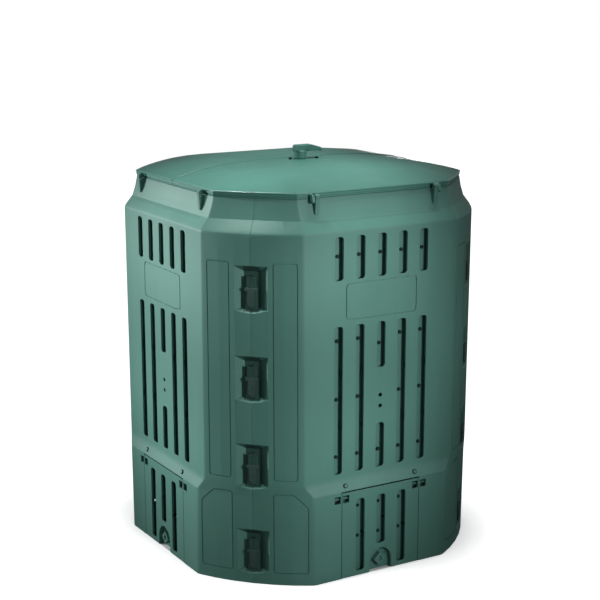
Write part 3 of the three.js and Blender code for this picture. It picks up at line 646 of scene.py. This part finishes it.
lidPieces = {
    "lid_front": {"bevel": 1.1 * mm, "bevelSteps": 3, "plastic": "lid", "body": "lid_front"},
    "lid_back": {"bevel": 1.1 * mm, "bevelSteps": 3, "plastic": "lid", "body": "lid_rear"},
    "lid_handle": {"bevel": 2.2 * mm, "bevelSteps": 4, "plastic": "lid", "body": "handle"},
    "lid_cam": {"bevel": 0.8 * mm, "bevelSteps": 2, "plastic": "clip", "body": "handle"},
    "lid_pin_front_a": {"bevel": 0.5 * mm, "bevelSteps": 2, "plastic": "pin", "body": "bin"},
    "lid_pin_front_b": {"bevel": 0.5 * mm, "bevelSteps": 2, "plastic": "pin", "body": "bin"},
    "lid_pin_back_a": {"bevel": 0.5 * mm, "bevelSteps": 2, "plastic": "pin", "body": "bin"},
    "lid_pin_back_b": {"bevel": 0.5 * mm, "bevelSteps": 2, "plastic": "pin", "body": "bin"},
}
dressed = {}
for node, look in lidPieces.items():
    piece = weldedCopy(node, f"{node}_dressed")
    dressed[node] = piece
    bevel(piece, look["bevel"], look["bevelSteps"])
    smooth(piece, look["plastic"])
    settle(piece, look["body"], look["plastic"], node)
print("flaps, latches, pins and lid made")


# Geometry Nodes trees

class NodeTree:
    def __init__(self, name, inputs):
        self.group = bpy.data.node_groups.new(name, "GeometryNodeTree")
        self.group.interface.new_socket("Geometry", in_out="INPUT", socket_type="NodeSocketGeometry")
        self.identifiers = {}
        for label, kind in inputs.items():
            socket = self.group.interface.new_socket(label, in_out="INPUT", socket_type=kind)
            self.identifiers[label] = socket.identifier
        self.group.interface.new_socket("Geometry", in_out="OUTPUT", socket_type="NodeSocketGeometry")
        self.entry = self.group.nodes.new("NodeGroupInput")

    def given(self, label):
        return self.entry.outputs[label]

    def add(self, kind, settings=None, inputs=None, output=0):
        node = self.group.nodes.new(kind)
        for key, value in (settings or {}).items():
            setattr(node, key, value)
        for key, value in (inputs or {}).items():
            if isinstance(value, bpy.types.NodeSocket):
                value = [value]
            if isinstance(value, list):
                for socket in value:
                    self.group.links.new(socket, node.inputs[key])
            else:
                node.inputs[key].default_value = value
        return node.outputs[output]

    def finish(self, geometry):
        realized = self.add("GeometryNodeRealizeInstances", {}, {"Geometry": geometry})
        coloured = self.add("GeometryNodeSetMaterial", {}, {
            "Geometry": realized, "Material": self.given("Plastic"),
        })
        exitNode = self.group.nodes.new("NodeGroupOutput")
        self.group.links.new(coloured, exitNode.inputs[0])
        return self


def grown(name, mesh, tree, values):
    piece = linkPiece(name, mesh)
    modifier = piece.modifiers.new("grown", "NODES")
    modifier.node_group = tree.group
    for label, value in values.items():
        modifier[tree.identifiers[label]] = value
    applyModifiers(piece)
    return piece


def pegTree():
    tree = NodeTree("pegs", {
        "Radius": "NodeSocketFloat",
        "Length": "NodeSocketFloat",
        "Sides": "NodeSocketInt",
        "Plastic": "NodeSocketMaterial",
    })
    shank = tree.add("GeometryNodeMeshCylinder", {}, {
        "Vertices": tree.given("Sides"), "Radius": tree.given("Radius"), "Depth": tree.given("Length"),
    })
    aim = tree.add("GeometryNodeInputNamedAttribute", {"data_type": "FLOAT_VECTOR"}, {"Name": "aim"})
    turn = tree.add("FunctionNodeAlignRotationToVector", {"axis": "Z"}, {"Vector": aim})
    pegs = tree.add("GeometryNodeInstanceOnPoints", {}, {
        "Points": tree.given("Geometry"), "Instance": shank, "Rotation": turn,
    })
    return tree.finish(pegs)


def ribTree():
    tree = NodeTree("ribs", {
        "Width": "NodeSocketFloat",
        "Depth": "NodeSocketFloat",
        "Plastic": "NodeSocketMaterial",
    })
    path = tree.add("GeometryNodeMeshToCurve", {}, {"Mesh": tree.given("Geometry")})
    upright = tree.add("GeometryNodeSetCurveNormal", {}, {"Curve": path})
    profile = tree.add("GeometryNodeCurvePrimitiveQuadrilateral", {}, {
        "Width": tree.given("Width"), "Height": tree.given("Depth"),
    })
    ribs = tree.add("GeometryNodeCurveToMesh", {}, {
        "Curve": upright, "Profile Curve": profile, "Fill Caps": True,
    })
    return tree.finish(ribs)


def beadTree():
    tree = NodeTree("beads", {
        "Radius": "NodeSocketFloat",
        "Sides": "NodeSocketInt",
        "Plastic": "NodeSocketMaterial",
    })
    path = tree.add("GeometryNodeMeshToCurve", {}, {"Mesh": tree.given("Geometry")})
    profile = tree.add("GeometryNodeCurvePrimitiveCircle", {}, {
        "Radius": tree.given("Radius"), "Resolution": tree.given("Sides"),
    })
    cords = tree.add("GeometryNodeCurveToMesh", {}, {
        "Curve": path, "Profile Curve": profile, "Fill Caps": True,
    })
    return tree.finish(cords)


pegs = pegTree()
ribs = ribTree()
beads = beadTree()


def pointMesh(name, points):
    mesh = bpy.data.meshes.new(name)
    mesh.from_pydata([place for place, aim in points], [], [])
    layer = mesh.attributes.new("aim", "FLOAT_VECTOR", "POINT")
    for index, (place, aim) in enumerate(points):
        layer.data[index].vector = aim
    return mesh


# Small dark pegs on the baffle strips, on the ledge over each hinge, and beside each latch; their
# near-black colour is painted shade that stands for the shade inside holes and dimples

wallPegs = {
    "radius": 4.9 * mm,
    "length": 3 * mm,
    "sides": 16,
    "columnPitch": 64 * mm,
    "columnShift": 4.5 * mm,
    "columns": 5,
    "heights": [849 * mm, 632 * mm, 479 * mm, 326 * mm],
    "splitHeights": [849 * mm, 612 * mm, 327 * mm],
    "face": 397.6 * mm,
    "faceDraft": wallDraft,
    "faceFoot": 268 * mm,
}
flapPegs = {
    **wallPegs,
    "columns": 3,
    "columnShift": 2.5 * mm,
    "heights": [187 * mm, 104 * mm],
    "splitHeights": [187 * mm, 104 * mm],
    "face": 405.6 * mm,
    "faceDraft": 0,
}
ledgeRings = {
    "radius": 6.4 * mm,
    "length": 3 * mm,
    "sides": 20,
    "x": 108 * mm,
    "height": 252 * mm,
    "out": 419.3 * mm,
    "slope": (0, -0.949, 0.316),
}
ledgeCaps = {**ledgeRings, "radius": 3.9 * mm, "length": 5.4 * mm}
latchDots = {
    "radius": 1.7 * mm,
    "length": 1 * mm,
    "sides": 12,
    "out": 409 * mm,
    "height": 31 * mm,
    "offsets": [(22 * mm, 9 * mm), (9 * mm, 22 * mm), (-9 * mm, 22 * mm)],
}
outOfWall = Vector((0, -1, 0))


def stripPoints(look):
    middle = (look["columns"] - 1) / 2
    points = []
    for column in range(look["columns"]):
        x = (column - middle) * look["columnPitch"] + look["columnShift"]
        for height in look["splitHeights"] if column == middle else look["heights"]:
            out = look["face"] + look["faceDraft"] * (height - look["faceFoot"])
            points.append((Vector((x, -out, height)), outOfWall))
    return points


def turnedPoints(points, turn):
    rotation = Matrix.Rotation(turn, 3, "Z")
    return [(rotation @ place, rotation @ aim) for place, aim in points]


def pegPiece(name, points, look, body, plastic="peg"):
    piece = grown(name, pointMesh(name, points), pegs, {
        "Radius": look["radius"],
        "Length": look["length"],
        "Sides": look["sides"],
        "Plastic": plastics[plastic],
    })
    smooth(piece, plastic)
    settle(piece, body, "clip" if plastic == "peg" else plastic)


allWallPoints = []
allLedgePoints = []
for name, turn in sideTurns.items():
    allWallPoints += turnedPoints(stripPoints(wallPegs), turn)
    ledge = []
    for side in (-1, 1):
        place = Vector((side * ledgeRings["x"], -ledgeRings["out"], ledgeRings["height"]))
        ledge.append((place, Vector(ledgeRings["slope"])))
    allLedgePoints += turnedPoints(ledge, turn)
    pegPiece(f"flap_pegs_{name}", turnedPoints(stripPoints(flapPegs), turn), flapPegs, f"flap_{name}")
    dots = [
        (Vector((x, -latchDots["out"], latchDots["height"] + z)), outOfWall)
        for x, z in latchDots["offsets"]
    ]
    pegPiece(f"latch_dots_{name}", turnedPoints(dots, turn), latchDots, f"flap_{name}")
pegPiece("baffle_pegs", allWallPoints, wallPegs, "bin")
pegPiece("ledge_rings", allLedgePoints, ledgeRings, "bin")
pegPiece("ledge_caps", allLedgePoints, ledgeCaps, "bin", "panel")
print("pegs set")


# Ribs: upright inside the walls beside each column of slots, and along the underside of each lid leaf

wallRibs = {
    "width": 2 * mm,
    "depth": 18 * mm,
    "foot": 300 * mm,
    "head": 905 * mm,
    "out": 404.1 * mm,
    "draft": wallDraft,
    "columns": [-128 * mm, -64 * mm, 0, 64 * mm, 128 * mm],
    "beside": 16.5 * mm,
}
lidRibs = {
    "width": 2.6 * mm,
    "depth": 7 * mm,
    "rimTop": 1012 * mm,
    "rise": 36 * mm,
    "power": 3.5,
    "skin": 3.5 * mm,
    "half": 379 * mm,
    "reach": 434 * mm,
    "reachShare": 0.93,
    "sink": 1 * mm,
    "places": [-255 * mm, -170 * mm, -85 * mm, 85 * mm, 170 * mm, 255 * mm],
    "near": 8 * mm,
    "far": 336 * mm,
    "steps": 18,
}


def pathMesh(name, paths):
    points = []
    edges = []
    for path in paths:
        first = len(points)
        points += path
        edges += [(first + index, first + index + 1) for index in range(len(path) - 1)]
    mesh = bpy.data.meshes.new(name)
    mesh.from_pydata(points, edges, [])
    return mesh


def wallRibPaths():
    paths = []
    for turn in sideTurns.values():
        rotation = Matrix.Rotation(turn, 3, "Z")
        for x in [place + side * wallRibs["beside"] for place in wallRibs["columns"] for side in (-1, 1)]:
            ends = []
            for height in (wallRibs["foot"], wallRibs["head"]):
                out = wallRibs["out"] + wallRibs["draft"] * (height - wallRibs["foot"])
                ends.append(rotation @ Vector((x, -out, height)))
            paths.append(ends)
    return paths


def domeHeight(x, y):
    flat = max(abs(x), abs(y)) / lidRibs["half"]
    hip = (abs(x) + abs(y)) / math.sqrt(2) / lidRibs["reach"]
    share = max(flat, hip)
    return lidRibs["rimTop"] + lidRibs["rise"] * (1 - share ** lidRibs["power"]) - lidRibs["skin"]


def lidRibPaths(direction):
    paths = []
    for x in lidRibs["places"]:
        far = min(lidRibs["far"], lidRibs["reach"] * math.sqrt(2) * lidRibs["reachShare"] - abs(x))
        path = []
        for step in range(lidRibs["steps"] + 1):
            y = lidRibs["near"] + (far - lidRibs["near"]) * step / lidRibs["steps"]
            z = domeHeight(x, y) - lidRibs["depth"] / 2 + lidRibs["sink"]
            path.append(Vector((x, direction * y, z)))
        paths.append(path)
    return paths


def ribPiece(name, paths, look, body, plastic):
    piece = grown(name, pathMesh(name, paths), ribs, {
        "Width": look["width"], "Depth": look["depth"], "Plastic": plastics[plastic],
    })
    smooth(piece, plastic)
    settle(piece, body, plastic)


ribPiece("wall_ribs", wallRibPaths(), wallRibs, "bin", "panel")
ribPiece("lid_ribs_front", lidRibPaths(-1), lidRibs, "lid_front", "lid")
ribPiece("lid_ribs_back", lidRibPaths(1), lidRibs, "lid_rear", "lid")
print("ribs grown")


# Beads along the lid's seam and rims, and the two stops beside the handle, all set on the lid's top

seamBead = {"radius": 2.3 * mm, "sides": 12, "y": -2.9 * mm, "half": 366 * mm, "steps": 46}
rimBead = {
    "radius": 3 * mm,
    "sides": 12,
    "half": 379 * mm,
    "corner": 234.8 * mm,
    "seam": 4 * mm,
    "height": 1008 * mm,
    "castFrom": 100 * mm,
    "inset": 1.6 * mm,
    "sink": 1.6 * mm,
    "step": 9 * mm,
}
lidStops = {
    "radius": 4.2 * mm,
    "length": 9 * mm,
    "sides": 18,
    "places": [(-48 * mm, -40 * mm), (27 * mm, -53 * mm)],
}
aboveLid = 2000 * mm
upward = Vector((0, 0, 1))


def topOf(surface, x, y):
    return surface.ray_cast(Vector((x, y, aboveLid)), -upward)[0]


def rimPath(surface, direction):
    half = rimBead["half"]
    corner = rimBead["corner"]
    seam = rimBead["seam"]
    plan = [(-half, seam), (-half, corner), (-corner, half), (corner, half), (half, corner), (half, seam)]
    corners = [Vector((x, direction * y, rimBead["height"])) for x, y in plan]
    path = []
    for first, second in zip(corners, corners[1:]):
        steps = math.ceil((second - first).length / rimBead["step"])
        outward = Vector((second.y - first.y, first.x - second.x, 0)).normalized() * -direction
        for step in range(steps):
            outside = first.lerp(second, step / steps) + outward * rimBead["castFrom"]
            hit = surface.ray_cast(outside, -outward)[0]
            if hit is None:
                continue
            crown = topOf(surface, *(hit - outward * rimBead["inset"]).xy)
            if crown is not None:
                path.append(crown - upward * rimBead["sink"])
    return path


def beadPiece(name, path, look, body):
    piece = grown(name, pathMesh(name, [path]), beads, {
        "Radius": look["radius"], "Sides": look["sides"], "Plastic": plastics["rim"],
    })
    smooth(piece, "rim")
    settle(piece, body, "lid")


lidTop = {}
for name in ("lid_front", "lid_back"):
    lidTop[name] = BVHTree.FromObject(dressed[name], bpy.context.evaluated_depsgraph_get())
seamPath = []
for step in range(seamBead["steps"] + 1):
    x = seamBead["half"] * (2 * step / seamBead["steps"] - 1)
    seamPath.append(topOf(lidTop["lid_front"], x, seamBead["y"]))
beadPiece("lid_seam_bead", seamPath, seamBead, "lid_front")
beadPiece("lid_rim_bead_front", rimPath(lidTop["lid_front"], -1), rimBead, "lid_front")
beadPiece("lid_rim_bead_back", rimPath(lidTop["lid_back"], 1), rimBead, "lid_rear")
# The stops take the near-black peg plastic, painted shade that stands for dimples beside the handle
stops = [(topOf(lidTop["lid_front"], x, y), upward) for x, y in lidStops["places"]]
pegPiece("lid_stops", stops, lidStops, "lid_front")
print("lid beads and stops grown")


# Corner clips, with grip ridges across each plate

clip = {
    "levels": 4,
    "bevel": 0.5 * mm,
    "bevelSteps": 2,
    "ridges": 3,
    "ridgePitch": 6 * mm,
    "ridgeWidth": 13 * mm,
    "ridgeHeight": 1.6 * mm,
    "ridgeProud": 1 * mm,
    "ridgeRise": 16 * mm,
}


def ridgeTree():
    tree = NodeTree("gripRidges", {
        "Count": "NodeSocketInt",
        "Pitch": "NodeSocketFloat",
        "Size": "NodeSocketVector",
        "Start": "NodeSocketVector",
        "Turn": "NodeSocketVector",
        "Plastic": "NodeSocketMaterial",
    })
    step = tree.add("ShaderNodeCombineXYZ", {}, {"Z": tree.given("Pitch")})
    line = tree.add("GeometryNodeMeshLine", {}, {
        "Count": tree.given("Count"), "Start Location": tree.given("Start"), "Offset": step,
    })
    bar = tree.add("GeometryNodeMeshCube", {}, {"Size": tree.given("Size")})
    bars = tree.add("GeometryNodeInstanceOnPoints", {}, {
        "Points": line, "Instance": bar, "Rotation": tree.given("Turn"),
    })
    return tree.finish(tree.add("GeometryNodeJoinGeometry", {}, {0: [tree.given("Geometry"), bars]}))


ridges = ridgeTree()


def clipPieces():
    turn = -quarter / 2
    for level in range(1, clip["levels"] + 1):
        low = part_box(f"clip_front_left_{level}")[0]
        plain = weldedCopy(f"clip_front_left_{level}", f"clip_{level}_plain")
        bevel(plain, clip["bevel"], clip["bevelSteps"])
        outward = max(-(Matrix.Rotation(-turn, 3, "Z") @ vertex.co).y for vertex in plain.data.vertices)
        start = Matrix.Rotation(turn, 3, "Z") @ Vector((0, -outward, low.z + clip["ridgeRise"]))
        first = grown(f"clip_front_left_{level}_dressed", plain.data.copy(), ridges, {
            "Count": clip["ridges"],
            "Pitch": clip["ridgePitch"],
            "Size": (clip["ridgeWidth"], 2 * clip["ridgeProud"], clip["ridgeHeight"]),
            "Start": start,
            "Turn": (0, 0, turn),
            "Plastic": plastics["clip"],
        })
        bpy.data.objects.remove(plain)
        smooth(first, "clip")
        for side, corner in cornerOfSide.items():
            node = f"clip_{corner}_{level}"
            piece = first if side == "front" else turnedCopy(first, f"{node}_dressed", sideTurns[side])
            settle(piece, node, "clip", node)


clipPieces()
print("clips made")


# Floor, lights and camera

studio = {
    "floorSize": 14,
    "floorColour": (0.3, 0.3, 0.3, 1),
    "seenFloorColour": (0.95, 0.95, 0.95, 1),
    "white": (1, 1, 1, 1),
    "black": (0, 0, 0, 1),
    "ambient": (0.96, 0.99, 1, 1),
    "ambientStrength": 0.26,
    "glossyShare": 0.05,
    "glow": 1,
    "shadowReach": 0.16,
    "shadowSamples": 12,
    "footHalf": 0.4215,
    "footReach": 0.4425,
}
frontLamp = {"azimuth": 6, "far": 3.2, "high": 1.3}
leftLamp = {**frontLamp, "azimuth": -125}
lamps = {
    "frontMiddle": {**frontLamp, "aim": (-0.1, -0.42, 0.6), "cone": 19, "power": 224},
    "frontFoot": {**frontLamp, "aim": (-0.1, -0.42, 0.2), "cone": 14, "power": 164},
    "frontHead": {**frontLamp, "aim": (-0.1, -0.4, 0.93), "cone": 14, "power": 179},
    "leftMiddle": {**leftLamp, "aim": (-0.42, -0.05, 0.6), "cone": 20, "power": 415},
    "leftFoot": {**leftLamp, "aim": (-0.42, -0.05, 0.2), "cone": 15, "power": 282},
    "leftHead": {**leftLamp, "aim": (-0.4, -0.05, 0.93), "cone": 15, "power": 285},
    "lidFront": {"azimuth": 60, "far": 0.6, "high": 3.4, "aim": (0, -0.25, 1.03), "cone": 13, "power": 317},
    "lidCorner": {
        "azimuth": -98, "far": 1.07, "high": 3.4, "aim": (-0.3, -0.25, 1), "cone": 8, "power": 450,
    },
    "lidLeft": {"azimuth": -90, "far": 0.2, "high": 3.4, "aim": (-0.3, 0, 1.02), "cone": 9, "power": 220},
    "lidBack": {"azimuth": 0, "far": 0.3, "high": 3.4, "aim": (0, 0.14, 1.02), "cone": 13, "power": 190},
    "rear": {"azimuth": 140, "far": 3.2, "high": 0.8, "aim": (0.2, 0.3, 0.52), "cone": 26, "power": 300},
}
lampHead = {"softness": 0.15, "blend": 1}
camera = {"place": (-2.008, -3.384, 1.5297), "yaw": 30.766, "pitch": 12.64, "lens": 86.9, "sensor": 36}


def aimedAt(item, place, aim):
    item.location = place
    item.rotation_euler = (Vector(aim) - Vector(place)).to_track_quat("-Z", "Y").to_euler()


def makeFloor():
    bpy.ops.mesh.primitive_plane_add(size=studio["floorSize"], location=(0, 0, 0))
    floor = bpy.context.object
    floor.name = "studioFloor"
    shader = Shader(bpy.data.materials.new("studioFloor"))
    seen = shader.add("ShaderNodeLightPath", output="Is Camera Ray")
    spot = shader.add("ShaderNodeTexCoord", output="Object")
    across = shader.size(shader.part(spot, 0))
    along = shader.size(shader.part(spot, 1))
    straight = shader.maths("MAXIMUM", across, along) - studio["footHalf"]
    slanted = (across + along) / math.sqrt(2) - studio["footReach"]
    outside = shader.maths("GREATER_THAN", shader.maths("MAXIMUM", straight, slanted), 0)
    shade = shader.mixColour(seen, studio["floorColour"], studio["seenFloorColour"])
    base = shader.add("ShaderNodeBsdfDiffuse", {}, {"Color": shade})
    openness = shader.add(
        "ShaderNodeAmbientOcclusion", {"samples": studio["shadowSamples"]},
        {"Distance": studio["shadowReach"]}, output="AO",
    )
    # The camera sees the floor glow white, but not inside the bin's footprint, and ambient occlusion dims
    # the glow near the base: a painted contact shadow
    glow = shader.add("ShaderNodeEmission", {}, {
        "Color": shader.mixColour(seen * outside * openness, studio["black"], studio["white"]),
        "Strength": studio["glow"],
    })
    floor.data.materials.append(shader.finish(shader.add("ShaderNodeAddShader", {}, {0: base, 1: glow})))


def makeWorld():
    air = Shader(bpy.data.worlds.new("studioWorld"))
    seen = air.add("ShaderNodeLightPath", output="Is Camera Ray")
    mirrored = air.add("ShaderNodeLightPath", output="Is Glossy Ray")
    through = air.add("ShaderNodeLightPath", output="Is Transmission Ray")
    shown = air.maths("MAXIMUM", air.maths("MAXIMUM", seen, mirrored * studio["glossyShare"]), through)
    soft = air.add("ShaderNodeBackground", {}, {
        "Color": studio["ambient"], "Strength": studio["ambientStrength"],
    })
    white = air.add("ShaderNodeBackground", {}, {"Color": studio["white"]})
    mixed = air.add("ShaderNodeMixShader", {}, {0: shown, 1: soft, 2: white})
    scene.world = air.finish(mixed, "ShaderNodeOutputWorld")


def makeLamps():
    for name, look in lamps.items():
        light = bpy.data.lights.new(name, "SPOT")
        light.energy = look["power"]
        light.spot_size = math.radians(look["cone"])
        light.spot_blend = lampHead["blend"]
        light.shadow_soft_size = lampHead["softness"]
        lamp = bpy.data.objects.new(name, light)
        scene.collection.objects.link(lamp)
        azimuth = math.radians(look["azimuth"])
        place = (math.sin(azimuth) * look["far"], -math.cos(azimuth) * look["far"], look["high"])
        aimedAt(lamp, place, look["aim"])


def makeCamera():
    data = bpy.data.cameras.new("photoView")
    data.lens = camera["lens"]
    data.sensor_width = camera["sensor"]
    viewer = bpy.data.objects.new("photoView", data)
    scene.collection.objects.link(viewer)
    viewer.location = camera["place"]
    viewer.rotation_euler = (quarter - math.radians(camera["pitch"]), 0, -math.radians(camera["yaw"]))
    scene.camera = viewer


makeFloor()
makeWorld()
makeLamps()
makeCamera()
scene.view_settings.view_transform = "Standard"
print("studio ready")
